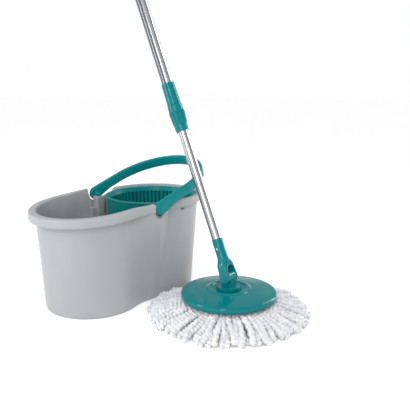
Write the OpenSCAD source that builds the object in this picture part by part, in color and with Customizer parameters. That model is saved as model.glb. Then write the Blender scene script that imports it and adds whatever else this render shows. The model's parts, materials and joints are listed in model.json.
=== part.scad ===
// Spin mop set: a two-lobed bucket with a swinging carry handle and a spinning
// wringer basket, and a telescopic mop with a tilting, swivelling round head.
// The origin is on the floor under the middle of the bucket's waist. +X points
// from the wash lobe to the spin lobe, +Z is up, and the mop stands on the -Y side.

/* [Bucket] */
// Distance from the waist to the axis of the wash lobe
wash_x = 74; // [72:0.5:76]
// Outer radius of the wash lobe at the floor
wash_r_base = 94.5; // [92:0.5:96]
// Outer radius of the wash lobe at its rim
wash_r_top = 105; // [103:0.5:106]
// Distance from the waist to the axis of the spin lobe
spin_x = 84; // [82:0.5:86]
// Outer radius of the spin lobe at the floor
spin_r_base = 85; // [83:0.5:87]
// Outer radius of the spin lobe at its rim
spin_r_top = 101.5; // [101:0.25:103]
// Half width of the waist at the floor
waist_y_base = 78; // [74:1:80]
// Half width of the waist under the rim
waist_y_top = 92; // [88:1:94]
// Wall thickness of the bucket
wall = 2.5; // [2:0.1:3]
// Height of the rim of the spin lobe
spin_rim_z = 208; // [206:0.5:209]
// Height of the rim of the wash lobe where it meets the waist
waist_rim_z = 212; // [210:0.5:213]
// Slope of the wash lobe's rim, falling away from the waist
rim_slope = 4.5; // [3:0.5:6]
// Width of the rim, from the wall's inner face to the skirt's outer face
rim_w = 15.5; // [14:0.5:17]
// Height of the rim's hanging skirt
rim_h = 17; // [14:0.5:18]

/* [Handle] */
// Height of the handle's pivot
pivot_z = 198.5; // [198:0.5:200]
// Distance of the handle's pivot from the waist, towards the spin lobe
pivot_x = 14.5; // [14:0.5:15]
// Distance from the middle to the outer face of each handle arm
handle_y = 115.5; // [115:0.5:117]
// Height of the handle's band
handle_h = 21; // [19:0.5:22]
// Thickness of the handle's band
handle_t = 9; // [8:0.5:9]
// Length of the straight part of each arm
handle_arm = 76; // [70:1:80]
// Angle of the stored handle above level
handle_rest = 20; // [19.5:0.5:24]
// Height of the band's middle above the pivot, square to the arms
handle_rise = 4; // [2:0.5:5]
// Diameter of the pegs that the handle swings on
peg_d = 10; // [8:0.5:11]

/* [Basket] */
// Height of the basket's top edge
basket_z = 203; // [201:0.5:204]
// Outer radius of the housing that stays in the bucket
housing_r = 97; // [95:0.25:97.5]
// Height of the housing's floor
housing_z = 96; // [90:1:104]
// Outer radius of the spinning basket
basket_r = 92.5; // [90:0.5:93]
// Number of drain slots round the basket
slot_count = 31; // [20:1:36]
// Diameter of the steel axle
axle_d = 8; // [6:0.5:9]

/* [Mop head] */
// Distance of the mop's axis from the waist, along the bucket
mop_x = 76; // [60:1:90]
// Distance of the mop's axis in front of the bucket's middle
mop_y = 238; // [238:1:260]
// Outer radius of the round head
disc_r = 92.5; // [88:0.5:95]
// Height of the head's lower edge
disc_z = 37; // [34:0.5:40]
// Radius that the strands cover on the floor
strand_r = 149; // [140:1:150]
// Height of the tilt hinge
hinge_z = 75; // [75:0.5:78]
// Lean of the pole from upright
pole_lean = 21.5; // [15:0.5:24]
// Turn of the tilt hinge about the vertical
pole_turn = 10.7; // [0:0.1:20]

/* [Pole] */
// Outer diameter of the lower tube
lower_d = 19; // [18.5:0.1:19.5]
// Outer diameter of the upper tube
upper_d = 22; // [21.8:0.1:22.4]
// Wall thickness of both tubes
tube_t = 0.8; // [0.6:0.1:0.9]
// Distance from the tilt hinge to the top of the socket
socket_top = 77; // [74:1:84]
// Distance from the tilt hinge to the lower end of the lock nut
nut_z = 293; // [285:1:320]
// Length of the lock nut
nut_l = 53; // [48:1:54]
// Length of the sleeve above the lock nut
sleeve_l = 42.5; // [38:0.5:44]
// Distance from the tilt hinge to the top of the pole
pole_l = 1180; // [1100:10:1250]
// Length of the hand grip
grip_l = 130; // [110:5:150]
// Lead of the twisted drive rod, for one turn
rod_lead = 120; // [100:5:150]

/* [Hidden] */
$fn = 96;

eps = 0.01;
run_fit = 0.06;
body_gap = 0.5;

grey = [0.70, 0.71, 0.72];
teal = [0.00, 0.56, 0.57];
dark_teal = [0.00, 0.43, 0.42];
steel = [0.80, 0.81, 0.83];
white = [0.95, 0.95, 0.95];

// Bucket values
lobe_h = 230;
wash_draft = (wash_r_top - wash_r_base) / pivot_z;
spin_draft = (spin_r_top - spin_r_base) / spin_rim_z;
rim_end = 2.5;
rim_t = 5;
rim_round = 3;
band_r = spin_r_top + 4;
wing_l = 66;
wing_x = pivot_x;
wing_y = 112;
wing_z = 95;
wing_in = waist_y_base + (waist_y_top - waist_y_base) * wing_z / pivot_z;
ramp_x = 46;
floor_h = 6;
foot_w = 12;
boss_r = 9;
boss_in = 88;
arm_in = handle_y - handle_t;
boss_out = arm_in - body_gap;
notch_x0 = 16;
notch_z0 = 183.5;
notch_x1 = 60;
peg_reach = 12;
tab_w = 9;
tab_angles = [-90, 0, 90];
tab_h = 4;
tab_z = spin_rim_z - rim_h - 7;

// Handle values
handle_bend = handle_y;
end_r = 13;

// Basket values
basket_wall = 2.5;
housing_low_r = 89.5;
basket_floor = housing_z + 6;
hub_r = 16;
hub_h = 30;

// Mop values
strand_t = 12;
dish_z = disc_z + 17;
turret_r = 24;
lug_r = 10.5;
lug_t = 21;
pin_d = 6;
cheek_t = 5;
cheek_in = lug_t / 2 + 0.4;
cheek_out = cheek_in + cheek_t;
cheek_r = 11.5;
web_z = 22;
socket_d = lower_d + 2;
socket_floor = 34;
bush_top = 700;
bush_l = 40;
lower_top = bush_top - 6;
upper_bottom = nut_z + nut_l - 4;
upper_top = pole_l - grip_l + 30;
upper_in = upper_d / 2 - tube_t;
lower_in = lower_d / 2 - tube_t;
rod_w = 7;
rod_t = 3;
rod_bottom = 430;
rod_top = upper_top - 12;
nut_d = 14;

// One wall of a lobe: a cone that grows by its draft over the height h
module lobe(r, draft, h, z0 = 0) {
    translate([0, 0, z0]) cylinder(r1 = r + draft * z0, r2 = r + draft * (z0 + h), h = h);
}

// The body of both lobes and the waist, pulled in by the distance inset
module lobes(inset, z0) {
    h = lobe_h - z0;
    translate([-wash_x, 0, 0]) lobe(wash_r_base - inset, wash_draft, h, z0);
    translate([spin_x, 0, 0]) lobe(spin_r_base - inset, spin_draft, h, z0);
    waist_body(inset, z0);
}

// The straight-sided waist between the lobes
module waist_body(inset, z0) {
    slope = (waist_y_top - waist_y_base) / pivot_z;
    low = waist_y_base - inset + slope * z0;
    high = waist_y_base - inset + slope * lobe_h;
    translate([-45, 0, 0])
        rotate([90, 0, 90])
            linear_extrude(95)
                polygon([[-low, z0], [low, z0], [high, lobe_h], [-high, lobe_h]]);
}

// The flare beside the waist that carries a handle pivot, pulled in by the distance
// inset. It grows upward, and past the pivot it ramps back in to the spin lobe.
module waist_flare(inset) {
    side = wing_y - inset;
    deep = wing_in - 10;
    intersection() {
        translate([0, 0, wing_z]) linear_extrude(lobe_h - wing_z) polygon([
            [-wing_l, deep], [-wing_l, side - 10], [0, side],
            [wing_x - inset / 3, side], [ramp_x - inset / 3, wing_in - inset], [ramp_x, deep]
        ]);
        translate([-wing_l - 1, 0, 0])
            rotate([90, 0, 90]) linear_extrude(wing_l + ramp_x + 2) polygon([
                [deep - 1, wing_z], [wing_in - inset - 1, wing_z],
                [side, notch_z0], [side, lobe_h], [deep - 1, lobe_h]
            ]);
    }
}

// Profile of the wash lobe's rim: a rounded lip that turns down into a skirt.
// Its inner edge is buried in the wall.
module rim_profile() {
    r0 = wash_r_top - 1;
    r1 = wash_r_top + rim_w - wall;
    translate([r0, -rim_t]) square([r1 - r0 - rim_round, rim_t]);
    translate([r1 - rim_round, -rim_round]) circle(rim_round, $fn = 32);
    translate([r1 - wall, -rim_h]) square([wall, rim_h - rim_round]);
}

// Rim round the wash lobe, with straight runs up to the waist
module wash_rim() {
    translate([0, 0, waist_rim_z]) rotate([0, -rim_slope, 0]) {
        translate([-wash_x, 0, 0])
            rotate([0, 0, 90]) rotate_extrude(angle = 180) rim_profile();
        both_sides() translate([-wash_x, 0, 0])
            rotate([90, 0, 90]) linear_extrude(wash_x - rim_end) rim_profile();
    }
}

// Band round the spin lobe
module spin_rim() {
    translate([spin_x, 0, spin_rim_z - rim_h]) rotate([0, 0, -115]) rotate_extrude(angle = 230)
        translate([spin_r_top - 2.1, 0]) square([band_r - spin_r_top + 2.1, rim_h]);
}

// Boss that holds one handle peg, on a pilaster that grows out of the flare
module pivot_boss() {
    translate([pivot_x, boss_out, pivot_z])
        rotate([90, 0, 0]) cylinder(r = boss_r, h = boss_out - boss_in);
    intersection() {
        translate([pivot_x - boss_r, boss_in, wing_z])
            cube([2 * boss_r, boss_out - boss_in, pivot_z - wing_z]);
        waist_flare(1);
    }
}

module both_sides() {
    children();
    mirror([0, 1, 0]) children();
}

// Everything above the wash lobe's sloping rim plane
module wash_trim() {
    translate([0, 0, waist_rim_z - 2])
        rotate([0, -rim_slope, 0])
            translate([-300, -150, 0]) cube([300 - rim_end + 3, 300, 80]);
}

// Everything above the spin lobe's rim and above its notches for the handle arms
module spin_trim() {
    translate([0, 150, 0]) rotate([90, 0, 0]) linear_extrude(300)
        polygon([
            [-rim_end, notch_z0], [notch_x0, notch_z0], [notch_x1, spin_rim_z],
            [300, spin_rim_z], [300, 300], [-rim_end, 300]
        ]);
}

module bucket() {
    color(grey) difference() {
        union() {
            difference() {
                union() {
                    lobes(0, 0);
                    both_sides() waist_flare(0);
                }
                lobes(wall, floor_h);
                both_sides() waist_flare(wall);
                wash_trim();
                spin_trim();
            }
            wash_rim();
            difference() {
                spin_rim();
                spin_trim();
            }
            both_sides() pivot_boss();
        }
        // Blind holes for the handle's pegs
        both_sides() translate([pivot_x, boss_out + 1, pivot_z])
            rotate([90, 0, 0]) cylinder(d = peg_d + 2 * run_fit, h = peg_reach + 1.5);
        // Slots that the basket housing's tabs click into
        for (a = tab_angles)
            translate([spin_x, 0, tab_z])
                rotate([0, 0, a]) translate([housing_r - 1, -tab_w / 2, 0]) cube([12, tab_w, tab_h]);
        // Hollow under the floor that leaves a foot ring
        translate([0, 0, -1]) {
            translate([-wash_x, 0, 0]) cylinder(r = wash_r_base - foot_w, h = 4);
            translate([spin_x, 0, 0]) cylinder(r = spin_r_base - foot_w, h = 4);
        }
    }
}

// Section of the handle's band, standing on the radius r
module handle_section(r) {
    round = 3;
    translate([r - handle_t + round, -handle_h / 2]) square([handle_t - 2 * round, handle_h]);
    translate([r - handle_t, -handle_h / 2 + round]) square([handle_t, handle_h - 2 * round]);
    for (x = [r - round, r - handle_t + round], z = [-1, 1])
        translate([x, z * (handle_h / 2 - round)]) circle(round, $fn = 32);
}

module handle() {
    color(teal) translate([pivot_x, 0, pivot_z]) rotate([0, -handle_rest, 0]) {
        translate([handle_arm, 0, handle_rise])
            rotate([0, 0, -90]) rotate_extrude(angle = 180) handle_section(handle_bend);
        both_sides() {
            translate([0, 0, handle_rise])
                rotate([90, 0, 90]) linear_extrude(handle_arm) handle_section(handle_bend);
            translate([0, handle_y, 0]) rotate([90, 0, 0]) cylinder(r = end_r, h = handle_t);
            translate([0, handle_y - 1, 0]) rotate([90, 0, 0])
                cylinder(d = peg_d, h = handle_t - 1 + body_gap + peg_reach);
        }
    }
}

// Smooth shell that stays in the spin lobe and carries the basket
module basket_housing() {
    top = basket_z - 3;
    color(dark_teal) translate([spin_x, 0, 0]) difference() {
        union() {
            translate([0, 0, housing_z]) cylinder(r1 = housing_low_r - 5, r2 = housing_low_r, h = 14);
            translate([0, 0, housing_z + 14])
                cylinder(r1 = housing_low_r, r2 = housing_r, h = top - housing_z - 14);
            for (a = tab_angles)
                rotate([0, 0, a])
                    translate([housing_r - 3, -tab_w / 2 + body_gap, tab_z + 0.5])
                        cube([5, tab_w - 2 * body_gap, tab_h - 1]);
        }
        // Cavity, with a boss left standing for the basket's bush to sit on
        difference() {
            translate([0, 0, housing_z + 3]) cylinder(r = housing_low_r - 6, h = 12);
            translate([0, 0, housing_z]) cylinder(d = axle_d + 14, h = 5.5);
        }
        translate([0, 0, housing_z + 14])
            cylinder(r1 = housing_low_r - 2, r2 = housing_r - 2, h = top - housing_z - 14 + eps);
        translate([0, 0, housing_z - 1]) cylinder(d = axle_d, h = 10);
        for (a = [0 : 30 : 330], r = [40, 64])
            rotate([0, 0, a + r]) translate([r, 0, housing_z - 1]) cylinder(d = 9, h = 6);
    }
}

module basket_axle() {
    color(steel) translate([spin_x, 0, 0]) {
        translate([0, 0, housing_z - 3]) cylinder(d = axle_d + 6, h = 3);
        translate([0, 0, housing_z - eps]) cylinder(d = axle_d, h = 36);
    }
}

module axle_clip() {
    color(steel) translate([spin_x, 0, housing_z + 32]) difference() {
        cylinder(d = axle_d + 5, h = 1.2);
        translate([0, 0, -1]) cylinder(d = axle_d, h = 4);
    }
}

module spin_basket() {
    top_r = basket_r;
    low_r = 80;
    h = basket_z - basket_floor;
    color(teal) translate([spin_x, 0, basket_floor]) difference() {
        union() {
            cylinder(r1 = low_r, r2 = top_r, h = h - 20);
            translate([0, 0, h - 20]) cylinder(r = top_r, h = 20);
            translate([0, 0, h - 2.4]) cylinder(r = housing_r + 0.5, h = 2.4);
        }
        difference() {
            translate([0, 0, 3]) {
                cylinder(r1 = low_r - basket_wall, r2 = top_r - basket_wall, h = h - 23 + eps);
                translate([0, 0, h - 23]) cylinder(r = top_r - basket_wall, h = 60);
            }
            cylinder(r = hub_r, h = hub_h);
        }
        translate([0, 0, -1]) cylinder(d = axle_d + 6, h = hub_h - 3);
        translate([0, 0, -1]) cylinder(d = axle_d + 8, h = hub_h + 10);
        for (i = [0 : slot_count - 1])
            rotate([0, 0, i * 360 / slot_count])
                translate([low_r - 6, -2.5, 12]) cube([24, 5, h - 34]);
        for (a = [0 : 30 : 330], r = [34, 56])
            rotate([0, 0, a + r / 2]) translate([r, 0, -1]) cylinder(d = 8, h = 6);
    }
}

module basket_bush() {
    low = basket_floor;
    color(white) translate([spin_x, 0, low]) difference() {
        cylinder(d = axle_d + 8, h = 25.5);
        translate([0, 0, -1]) cylinder(d = axle_d + 2 * run_fit, h = 40);
    }
}

module hub_cap() {
    color(dark_teal) translate([spin_x, 0, basket_floor + hub_h]) difference() {
        union() {
            cylinder(r1 = hub_r, r2 = hub_r - 5, h = 6);
            translate([0, 0, 6]) cylinder(r1 = hub_r - 5, r2 = 4, h = 4);
        }
        translate([0, 0, -1]) cylinder(d = axle_d + 8, h = 4);
    }
}

// Places its children at the mop's axis, with the tilt hinge along X
module at_mop() {
    translate([mop_x, -mop_y, 0]) rotate([0, 0, pole_turn]) children();
}

// Places its children on the leaning pole, with the tilt hinge at z = 0
module at_pole() {
    at_mop() translate([0, 0, hinge_z]) rotate([-pole_lean, 0, 0]) children();
}

module disc_cover() {
    color(teal) at_mop() rotate_extrude() difference() {
        union() {
            polygon([
                [turret_r + 1, disc_z + 10], [disc_r - 1, disc_z], [disc_r, disc_z + 3],
                [disc_r - 0.5, disc_z + 7], [disc_r - 3, disc_z + 9.5], [disc_r - 8, disc_z + 11.5],
                [disc_r - 20, disc_z + 14], [50, dish_z + 1], [40, dish_z + 2], [35, dish_z + 2],
                [31, dish_z - 1],
                [turret_r + 1, dish_z - 1]
            ]);
        }
        polygon([
            [turret_r + 3, disc_z - 1], [disc_r - 4, disc_z - 1], [disc_r - 4, disc_z + 6],
            [disc_r - 10, disc_z + 8.5], [48, dish_z - 3.5], [turret_r + 3, dish_z - 4]
        ]);
    }
}

module refill_plate() {
    color(white) at_mop() translate([0, 0, disc_z]) difference() {
        cylinder(r = disc_r - 6, h = 5);
        translate([0, 0, -1]) cylinder(r = turret_r + 4.5, h = 10);
    }
}

// Soft ring of yarn: held under the plate, spreading over the floor
module strands() {
    color(white) at_mop() rotate_extrude() polygon([
        [30, 18], [60, 4], [75, 0], [strand_r - 4, 0], [strand_r, 4],
        [strand_r - 1, strand_t], [disc_r + 6, disc_z - 5], [disc_r - 4, disc_z - 1],
        [disc_r - 8, disc_z], [30, disc_z]
    ]);
}

// Ring under the cover that the turret turns in
module swivel_bearing() {
    color(white) at_mop() translate([0, 0, disc_z + 6.5]) difference() {
        cylinder(r = turret_r + 1, h = 9.5);
        translate([0, 0, -1]) cylinder(r = turret_r - 6 + run_fit, h = 12);
    }
}

// Round base that turns in the head, with the lug of the tilt hinge on top
module swivel_turret() {
    color(dark_teal) at_mop() difference() {
        union() {
            translate([0, 0, disc_z + 16.5]) cylinder(r = turret_r, h = 4.5);
            translate([0, 0, disc_z + 6]) cylinder(r = turret_r - 6, h = 12);
            translate([-lug_t / 2, 0, hinge_z]) rotate([0, 90, 0]) cylinder(r = lug_r, h = lug_t);
            translate([-lug_t / 2, -lug_r, disc_z + 18]) cube([lug_t, 2 * lug_r, hinge_z - disc_z - 18]);
        }
        translate([-lug_t, 0, hinge_z]) rotate([0, 90, 0]) cylinder(d = pin_d + 2 * run_fit, h = 2 * lug_t);
        translate([0, 0, disc_z]) cylinder(d = 4, h = 20);
    }
}

module turret_washer() {
    color(steel) at_mop() translate([0, 0, disc_z + 4]) difference() {
        cylinder(r = turret_r - 1, h = 2);
        translate([0, 0, -1]) cylinder(d = 4.4, h = 5);
    }
}

module turret_screw() {
    color(steel) at_mop() {
        translate([0, 0, disc_z + 1.5]) cylinder(d1 = 6, d2 = 9, h = 2.5);
        translate([0, 0, disc_z + 4 - eps]) cylinder(d = 4, h = 14);
    }
}

// One cheek of the fork, tapering up into the socket
module cheek() {
    hull() {
        rotate([0, 90, 0]) cylinder(r = cheek_r, h = cheek_t, $fn = 32);
        translate([0, -9.5, socket_floor]) cube([cheek_t, 19, 2]);
    }
}

module pole_socket() {
    color(teal) at_pole() difference() {
        union() {
            translate([cheek_in, 0, 0]) cheek();
            translate([-cheek_out, 0, 0]) cheek();
            hull() {
                translate([-cheek_out, -10.5, web_z]) cube([2 * cheek_out, 21, 8]);
                translate([0, 0, 44]) cylinder(d = socket_d, h = 2, $fn = 48);
            }
            translate([0, 0, 44]) cylinder(d = socket_d, h = socket_top - 44);
        }
        // Round gap over the lug, so that the fork can tilt
        translate([-cheek_in, 0, 0]) rotate([0, 90, 0]) cylinder(r = web_z, h = 2 * cheek_in);
        // Bore for the lower tube and for the hinge pin
        translate([0, 0, socket_floor]) cylinder(d = lower_d, h = socket_top);
        translate([-30, 0, 0]) rotate([0, 90, 0]) cylinder(d = pin_d, h = 60);
        translate([-30, 0, 58]) rotate([0, 90, 0]) cylinder(d = 4, h = 60);
    }
}

module hinge_pin() {
    color(steel) at_pole() translate([-cheek_out + 0.4, 0, 0])
        rotate([0, 90, 0]) cylinder(d = pin_d, h = 2 * cheek_out - 0.8);
}

// Rivet that fixes the lower tube in the socket
module socket_rivet() {
    color(steel) at_pole() translate([-socket_d / 2, 0, 58])
        rotate([0, 90, 0]) cylinder(d = 4, h = socket_d);
}

module tube(d, z0, z1) {
    translate([0, 0, z0]) difference() {
        cylinder(d = d, h = z1 - z0);
        translate([0, 0, -1]) cylinder(d = d - 2 * tube_t, h = z1 - z0 + 2);
    }
}

module lower_tube() {
    color(steel) at_pole() difference() {
        tube(lower_d, socket_floor, lower_top);
        translate([-30, 0, 58]) rotate([0, 90, 0]) cylinder(d = 4, h = 60);
    }
}

// Bush on top of the lower tube: slides in the upper tube and holds the drive nut
module guide_bush() {
    color(white) at_pole() difference() {
        union() {
            translate([0, 0, lower_top]) cylinder(r = upper_in - run_fit, h = 6);
            translate([0, 0, lower_top - bush_l + 6]) cylinder(r = lower_in, h = bush_l);
        }
        translate([0, 0, lower_top - bush_l]) cylinder(r = rod_w / 2 + 1, h = bush_l + 20);
        translate([0, 0, lower_top - 22]) cylinder(d = nut_d + 2 * run_fit, h = 24);
        translate([0, 0, lower_top - 22 + 24 - eps]) cylinder(d = nut_d - 3, h = 20);
    }
}

// Nut that the twisted rod turns as it slides through
module drive_nut() {
    color(dark_teal) at_pole() translate([0, 0, lower_top - 21.5]) difference() {
        cylinder(d = nut_d, h = 22.5);
        translate([0, 0, -1]) cylinder(d = rod_w + 0.8, h = 30);
    }
}

module upper_tube() {
    color(steel) at_pole() tube(upper_d, upper_bottom, upper_top);
}

// Sleeve fixed on the upper tube, with the thread that the lock nut turns on
module collar_sleeve() {
    low = nut_z + nut_l;
    color(teal) at_pole() difference() {
        union() {
            translate([0, 0, low + 0.5]) cylinder(d1 = 26.8, d2 = 24.8, h = sleeve_l);
            translate([0, 0, low - 30]) cylinder(d = 24.6, h = 31);
        }
        translate([0, 0, upper_bottom]) cylinder(d = upper_d, h = 80);
        translate([0, 0, low - 40]) cylinder(d = lower_d + 0.8, h = 60);
    }
}

// Split ring that grips the lower tube
module lock_collet() {
    low = nut_z + nut_l - 30;
    color(white) at_pole() translate([0, 0, low - 16]) difference() {
        cylinder(d1 = lower_d + 3, d2 = lower_d + 4.6, h = 16);
        translate([0, 0, -1]) cylinder(d = lower_d + 0.7, h = 20);
        translate([-1, 0, -1]) cube([2, 20, 20]);
    }
}

module lock_nut() {
    color(teal) at_pole() translate([0, 0, nut_z]) difference() {
        union() {
            cylinder(d1 = 25, d2 = 29, h = nut_l - 4);
            translate([0, 0, nut_l - 4]) cylinder(d1 = 29, d2 = 28, h = 4);
            for (a = [0 : 30 : 330])
                rotate([0, 0, a]) translate([12.9, 0, 14])
                    rotate([0, 4, 0]) cylinder(d = 1.6, h = 26, $fn = 16);
        }
        translate([0, 0, -1]) cylinder(d = lower_d + 0.8, h = nut_l + 2);
        translate([0, 0, 4]) cylinder(d = 24.6 + 2 * run_fit, h = nut_l);
    }
}

// Flat bar twisted into a long helix: pushing it through the nut turns the nut
module twist_rod() {
    h = rod_top - rod_bottom;
    color(steel) at_pole() translate([0, 0, rod_bottom])
        linear_extrude(h, twist = -360 * h / rod_lead, slices = floor(h / 8), $fn = 4)
            square([rod_w, rod_t], center = true);
}

// Plug that holds the rod's upper end in the upper tube
module rod_plug() {
    color(dark_teal) at_pole() translate([0, 0, rod_top]) cylinder(r = upper_in, h = upper_top - rod_top);
}

module hand_grip() {
    low = pole_l - grip_l;
    color(teal) at_pole() difference() {
        union() {
            translate([0, 0, low]) cylinder(d1 = 25, d2 = 28, h = 12);
            translate([0, 0, low + 12]) cylinder(d = 28, h = grip_l - 42);
            for (i = [0 : 5])
                translate([0, 0, low + 24 + i * 11]) cylinder(d = 29.5, h = 5);
        }
        translate([0, 0, low - 1]) cylinder(d = upper_d, h = upper_top - low + 1);
    }
}

// Rounded end cap with the hole that the mop hangs from
module hanging_cap() {
    low = pole_l - 30;
    color(dark_teal) at_pole() difference() {
        union() {
            translate([0, 0, low]) cylinder(d1 = 28, d2 = 25, h = 8);
            translate([-5, 0, low + 16]) rotate([0, 90, 0]) cylinder(r = 12.5, h = 10);
            translate([-5, -12.5, low + 6]) cube([10, 25, 10]);
        }
        translate([-30, 0, low + 18]) rotate([0, 90, 0]) cylinder(d = 9, h = 60);
    }
}

bucket();
handle();
basket_housing();
basket_axle();
axle_clip();
spin_basket();
basket_bush();
hub_cap();
disc_cover();
refill_plate();
strands();
swivel_bearing();
swivel_turret();
turret_washer();
turret_screw();
pole_socket();
hinge_pin();
socket_rivet();
lower_tube();
guide_bush();
drive_nut();
upper_tube();
collar_sleeve();
lock_collet();
lock_nut();
twist_rod();
rod_plug();
hand_grip();
hanging_cap();
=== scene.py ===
"""Looks of the spin mop set: moulded shells, ribbed basket, steel pole and yarn strands."""
import json
import math
import random

import bmesh
import bpy
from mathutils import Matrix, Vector


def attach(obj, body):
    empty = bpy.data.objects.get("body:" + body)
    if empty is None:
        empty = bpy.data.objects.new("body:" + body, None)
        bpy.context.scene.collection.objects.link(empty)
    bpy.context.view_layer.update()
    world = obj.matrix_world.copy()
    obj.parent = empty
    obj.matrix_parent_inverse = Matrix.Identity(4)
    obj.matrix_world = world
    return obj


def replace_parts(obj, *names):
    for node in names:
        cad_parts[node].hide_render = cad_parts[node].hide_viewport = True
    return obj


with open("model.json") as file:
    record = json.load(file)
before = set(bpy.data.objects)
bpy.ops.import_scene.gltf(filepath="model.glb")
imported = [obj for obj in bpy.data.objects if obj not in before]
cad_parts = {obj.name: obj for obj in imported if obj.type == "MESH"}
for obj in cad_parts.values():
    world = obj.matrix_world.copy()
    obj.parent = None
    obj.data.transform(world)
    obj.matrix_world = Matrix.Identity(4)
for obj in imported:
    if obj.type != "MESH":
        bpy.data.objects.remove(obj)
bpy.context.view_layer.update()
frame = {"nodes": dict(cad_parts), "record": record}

MM = 0.001

# ---------------------------------------------------------------- camera
CAMERA_AT = Vector((-0.699, -0.948, 0.445))
CAMERA_TURN = math.radians(45.0)
CAMERA_DOWN = math.radians(12.5)


def make_camera():
    """The camera stands off the wash lobe's near side and looks slightly down."""
    data = bpy.data.cameras.new("camera")
    data.lens = 50.5
    data.sensor_fit = "HORIZONTAL"
    data.sensor_width = 36.0
    data.clip_end = 60.0
    cam = bpy.data.objects.new("camera", data)
    bpy.context.scene.collection.objects.link(cam)
    level = math.cos(CAMERA_DOWN)
    aim = Vector((math.cos(CAMERA_TURN) * level, math.sin(CAMERA_TURN) * level, -math.sin(CAMERA_DOWN)))
    cam.location = CAMERA_AT
    cam.rotation_euler = aim.to_track_quat("-Z", "Y").to_euler()
    bpy.context.scene.camera = cam


make_camera()


# ---------------------------------------------------------------- design sizes, in mm
# Bucket
WASH_X, WASH_R0, WASH_R1 = -74.0, 94.5, 105.0
SPIN_X, SPIN_R0, SPIN_R1 = 84.0, 85.0, 101.5
WAIST_Y0, WAIST_Y1 = 78.0, 92.0
PIVOT_X, PIVOT_Z = 14.5, 198.5
WALL = 2.5
WASH_RIM_Z, RIM_SLOPE = 212.0, math.tan(math.radians(4.5))
SPIN_RIM_Z = 208.0
RIM_R, BAND_R = 118.0, 105.5
RIM_H, RIM_T = 17.0, 5.0
RIM_END, RIM_CORNER = -2.3, 4.0
NOTCH_Z, NOTCH_X0, NOTCH_X1 = 183.5, 16.0, 60.0
POCKET_R = PIVOT_Z - NOTCH_Z
FLARE_X0, FLARE_Y, FLARE_Z = -66.0, 115.0, 30.0
FLARE_LOW_Y = WAIST_Y0 + (WAIST_Y1 - WAIST_Y0) * FLARE_Z / PIVOT_Z
# The flare's upright edge, and the foot of the recess beyond it, low down and at the notch
EDGE_LOW_Z, EDGE_LOW_X, EDGE_TOP_X = 30.0, 28.0, 14.5
FOOT_LOW_X, FOOT_TOP_X = 34.0, 50.0
BOSS_R, BOSS_IN = 9.0, 88.0
# The tall pivot block stops below the peg's middle, and the low block beside it further down
CRADLE_DROP, LOW_BLOCK_Z, BLOCK_FOOT = 4.0, 171.0, 12.0
TAB_ANGLES, TAB_Z, TAB_W, TAB_H = (-90.0, 0.0, 90.0), 184.0, 9.0, 4.0
# Handle
HANDLE_Y, HANDLE_T, HANDLE_H = 115.5, 9.0, 21.0
HANDLE_ARM, HANDLE_RISE, HANDLE_REST, HANDLE_END = 76.0, 4.0, math.radians(20.0), 13.0
HANDLE_EDGE_R = 3.2
# Basket
BASKET_TOP, BASKET_FLOOR, BASKET_R, BASKET_LOW_R = 203.0, 102.0, 92.5, 80.0
LIP_R = 97.5
RIB_COUNT = 62
# Mop
MOP_X, MOP_Y = 76.0, -238.0
DISC_R, DISC_Z = 92.5, 35.0
HINGE_Z = 75.0
POLE_LEAN, POLE_TURN = math.radians(21.5), math.radians(10.7)
TUBE_R = 11.0
# A strand that points at the bucket is shortened, to keep its middle line off the wall
STRAND_R, STRAND_SHORTEST, STRAND_GAP = 157.0, 120.0, 7.5


# Studio: the sky is bright up to the low height and dim above the high one
HORIZON_LOW, HORIZON_HIGH, HORIZON_LIGHT, SKY_LIGHT = 0.13, 0.24, 1.0, 0.5


# ---------------------------------------------------------------- small maths
def smoothstep(low, high, value):
    t = min(max((value - low) / (high - low), 0.0), 1.0)
    return t * t * (3.0 - 2.0 * t)


def soft_max(a, b, k):
    h = max(k - abs(a - b), 0.0) / k
    return max(a, b) + h * h * k * 0.25


def soft_min(a, b, k):
    return -soft_max(-a, -b, k)


def lerp(a, b, t):
    return a + (b - a) * t


def smooth_curve(points, steps):
    """Catmull-Rom curve through a few points."""
    out = []
    n = len(points)
    for i in range(n - 1):
        p0 = points[max(i - 1, 0)]
        p1, p2 = points[i], points[i + 1]
        p3 = points[min(i + 2, n - 1)]
        for s in range(steps):
            t = s / steps
            out.append(tuple(
                0.5 * (2 * b + (c - a) * t + (2 * a - 5 * b + 4 * c - d) * t * t
                       + (3 * b - a - 3 * c + d) * t ** 3)
                for a, b, c, d in zip(p0, p1, p2, p3)
            ))
    out.append(tuple(points[-1]))
    return out


# ---------------------------------------------------------------- mesh helpers
def make_object(name, verts, faces, material, merge=0.02, smooth_angle=35.0):
    """A mesh object from points in mm, welded, with its faces turned outward."""
    mesh = bpy.data.meshes.new(name)
    mesh.from_pydata([Vector(v) * MM for v in verts], [], faces)
    bm = bmesh.new()
    bm.from_mesh(mesh)
    bmesh.ops.remove_doubles(bm, verts=bm.verts, dist=merge * MM)
    bmesh.ops.dissolve_degenerate(bm, edges=bm.edges, dist=merge * MM * 0.5)
    loose = [v for v in bm.verts if not v.link_faces]
    bmesh.ops.delete(bm, geom=loose, context="VERTS")
    bmesh.ops.recalc_face_normals(bm, faces=bm.faces)
    bm.to_mesh(mesh)
    bm.free()
    mesh.shade_smooth()
    mesh.set_sharp_from_angle(angle=math.radians(smooth_angle))
    mesh.materials.append(material)
    obj = bpy.data.objects.new(name, mesh)
    bpy.context.scene.collection.objects.link(obj)
    return obj


def grid_faces(rows, columns, closed, first=0):
    """Quads over rows of points, round a closed or along an open row."""
    faces = []
    last = columns if closed else columns - 1
    for r in range(rows - 1):
        for c in range(last):
            n = (c + 1) % columns
            a = first + r * columns
            b = a + columns
            faces.append((a + c, a + n, b + n, b + c))
    return faces


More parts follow.
